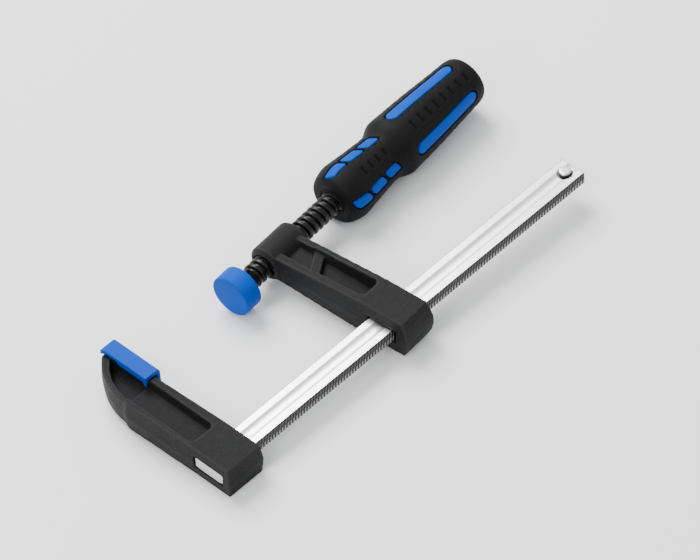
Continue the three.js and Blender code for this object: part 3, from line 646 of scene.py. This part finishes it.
HANDLE_X = 31.0  # from the middle of the arm to the front of the handle
WINDOW_TURN = math.radians(76)
STRIP = (37.0, 74.0, 2.75)  # from, to and half width
DASHES = ((1.6, 10.1, 2.4), (11.0, 19.7, 2.4), (20.7, 28.2, 2.4))
DASH_SLANT = 0.45
WINDOW_ENDS = (1.6, 10.5, 20.2, 28.2, 37.0, 74.0)
WINDOW_DEPTH = 2.3
GROOVE_DEPTH = 0.5
GROOVES = ((41.7, 4.6, 8, 33), (13.0, 4.2, 4, 34))  # first, step, count and degrees from the windows
HANDLE_BORE = 7
SKIN = [(0, 5.9), (0, 8.5), (0.35, 9.5), (0.9, 10.2), (1.5, 10.6), (3.1, 11.2), (4.8, 11.63), (6.5, 11.9)]
SKIN += [(7.9, 11.92), (9.9, 11.76), (12.4, 11.5), (16.7, 11.05), (21, 10.65), (25.3, 10.3), (27.9, 10.18)]
SKIN += [(29.4, 10.4), (30.9, 11.0), (32.2, 11.65), (33.4, 12.17), (34.5, 12.5), (36, 12.57), (40.3, 12.36)]
SKIN += [(46.8, 12.13), (55.4, 11.7), (64, 11.09), (72.7, 10.57), (75, 10.5), (76.9, 10.3), (78.5, 9.95)]
SKIN += [(79.6, 9.3), (80.3, 8.0), (80.9, 5), (81.2, 2.5), (81.3, 0.1)]


def skin_path(count):
    """The skin's outer profile from its front face to its end, as (distance, radius) stations.

    Stations are spaced evenly along the profile, but closer at the ends of the windows, and the
    profile's corners are blended by averaging neighbours.
    """
    corners = np.array(SKIN, float)
    length = np.concatenate([[0], np.cumsum(np.hypot(*np.diff(corners, axis=0).T))])
    fine = np.linspace(0, length[-1], 4000)
    path = np.column_stack([np.interp(fine, length, corners[:, 0]), np.interp(fine, length, corners[:, 1])])
    kernel = np.hanning(37)
    kernel /= kernel.sum()
    padded = np.pad(path, ((18, 18), (0, 0)), mode="edge")
    path = np.column_stack([np.convolve(padded[:, axis], kernel, "valid") for axis in range(2)])
    density = np.ones(len(path))
    for place in WINDOW_ENDS:
        density += 2.0 * np.exp(-(((path[:, 0] - place) / 0.8) ** 2))
    reached = np.concatenate([[0], np.cumsum(density)[:-1]])
    pick = np.interp(np.linspace(0, reached[-1], count), reached, np.arange(len(path)))
    return np.column_stack([np.interp(pick, np.arange(len(path)), path[:, axis]) for axis in range(2)])


def row_angles(outside):
    """Angles round the handle from the middle of a row, close together at the windows' long edges."""
    near = np.concatenate([np.linspace(0, 10, 5)[:-1], np.linspace(10, 16, 14)[:-1]])
    half = np.concatenate([near, np.linspace(16, 45, outside + 1)])
    quarter = np.radians(np.concatenate([-half[:0:-1], half[:-1]]))
    return np.concatenate([quarter + k * math.pi / 2 for k in range(4)])


def rounded_box(along, across, box, corner, slant=0.0):
    """Signed distance in millimetres from a round-cornered box, its ends slanted, negative inside."""
    start, end, half = box
    along = along - slant * across
    outside_x = np.abs(along - (start + end) / 2) - ((end - start) / 2 - corner)
    outside_y = np.abs(across) - (half - corner)
    far = np.hypot(np.maximum(outside_x, 0), np.maximum(outside_y, 0))
    return far + np.minimum(np.maximum(outside_x, outside_y), 0) - corner


def window_distance(along, across):
    """Signed distance from the nearest window of a row, negative inside."""
    found = rounded_box(along, across, STRIP, 2.7)
    for dash in DASHES:
        found = np.minimum(found, rounded_box(along, across, dash, 1.3, DASH_SLANT))
    return found


def ramp(value, start, end):
    """A smooth step from 0 at start to 1 at end."""
    t = np.clip((value - start) / (end - start), 0, 1)
    return t * t * (3 - 2 * t)


def round_axis(path, angle):
    """Rings of points about X at each (distance, radius) of a path, where radius may be a grid."""
    along, radius = path
    along = np.broadcast_to(along, radius.shape)
    return np.stack([along, radius * np.cos(angle), radius * np.sin(angle)], -1)


def from_windows(from_row):
    """Angles from the middle of the nearest row of windows."""
    return (from_row + math.pi / 4) % (math.pi / 2) - math.pi / 4


def groove_field(along, folded):
    """Grip grooves as a height from 0 to 1.

    Each groove is a flat-topped bell along the handle. Round the handle it runs midway between two rows
    of windows, and again as a fainter tick beside each row.
    """
    beside = np.degrees(np.abs(folded))[None, :]
    tick = 0.4 * ramp(beside, 16.5, 18) * (1 - ramp(beside, 20.5, 22))
    grooves = np.zeros((len(along), len(folded)))
    for first, step, count, reach in GROOVES:
        for k in range(count):
            line = np.exp(-(((along - first - k * step) / 0.7) ** 4))
            grooves += line * (ramp(beside, reach, reach + 4) + tick)
    return np.minimum(grooves, 1)


def skin_radius(path, folded, grooves):
    """The skin's radius: its profile, sunk by the windows' depth inside every window, with walls that
    slope over 0.3 mm, or else sunk by the grooves."""
    along = path[:, :1]
    inside = 1 - ramp(window_distance(along, path[:, 1:] * folded[None, :]), -0.02, 0.3)
    depth = WINDOW_DEPTH * inside * ramp(along, 1.0, 1.9)
    return path[:, 1:] - np.maximum(depth, GROOVE_DEPTH * grooves)


path = skin_path(330)
from_row = row_angles(16)
angle = np.pi / 2 + WINDOW_TURN + from_row
folded = from_windows(from_row)
grooves = groove_field(path[:, :1], folded)
radius = skin_radius(path, folded, grooves)
bore = [(76, 0.2), (76, HANDLE_BORE), (1.6, HANDLE_BORE), (1.6, 4.6)]
bore += [(0.15, 4.5), (0, 4.65), (0, 5.2), (0.4, 5.35), (0.4, 5.7)]
bore = np.array(bore, float)
inner = np.broadcast_to(bore[:, 1:], (len(bore), len(angle)))
rings = np.concatenate([round_axis((bore[:, :1], inner), angle), round_axis((path[:, :1], radius), angle)])
rings[..., 0] += HANDLE_X
vertices, faces = tube(rings)
grip = mesh_object("handle_grip_rubber", on_arm(vertices), faces)
# The rubber is painted darker down in the grip grooves: painted shade.
painted_groove_shade = np.concatenate([np.zeros(inner.size), grooves.ravel(), [0, 0]])
attribute(grip, "groove", painted_groove_shade)

rubber, tree, shader = material("grip_rubber", (0.004, 0.004, 0.0042), 0.62)
shader.inputs["Specular IOR Level"].default_value = 0.1
grain = noise(tree, (1700, 1700, 1700), 4, 0.65)
patches = noise(tree, (80, 80, 80), 3)
plain = blend(tree, patches, (0.003, 0.003, 0.0032), (0.005, 0.005, 0.0052))
# Painted shade in the grooves.
tree.links.new(blend(tree, read(tree, "groove"), plain, (0.001, 0.001, 0.001)), shader.inputs["Base Color"])
tree.links.new(spread(tree, grain, 0.52, 0.74, 0.3, 0.7), shader.inputs["Roughness"])
bump(tree, shader, grain, 0.3, 0.06)
grip.data.materials.append(rubber)
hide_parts("handle_grip")
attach(grip, "screw")


# ---------------------------------------------------------------- handle core
# Hard blue plastic moulded on the spindle's tang. It stands level with the skin in every window, with a
# hair of a gap round it.

CORE_START = 1.6
CORE_END = 75.6
CORE_RADIUS = 6.6  # under the skin
CORE_GAP = 0.1  # below the skin's surface


def core_radius(path, folded):
    """The core's radius: plain under the skin, and inside every window an island that rises to just
    below the skin's surface, its rim rounded off by a tenth of a millimetre."""
    distance = window_distance(path[:, :1], path[:, 1:] * folded[None, :])
    island = 1 - ramp(distance, -0.3, -0.12)
    crown = 0.12 * ramp(distance, -1.1, -0.28)
    return CORE_RADIUS + (path[:, 1:] - CORE_GAP - crown - CORE_RADIUS) * island


path = skin_path(330)
path = path[(path[:, 0] > CORE_START) & (path[:, 0] < CORE_END)]
from_row = row_angles(3)
angle = np.pi / 2 + WINDOW_TURN + from_row
radius = core_radius(path, from_windows(from_row))
rings = round_axis((path[:, :1], radius), angle)
front = round_axis((np.array([[1.75]]), np.full((1, len(angle)), CORE_RADIUS)), angle)
rings = np.concatenate([front, rings[1:]])
rings[..., 0] += HANDLE_X
vertices, faces = tube(rings)
core = mesh_object("handle_core_plastic", on_arm(vertices), faces)
core.data.materials.append(moulded)
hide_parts("handle_core")
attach(core, "screw")
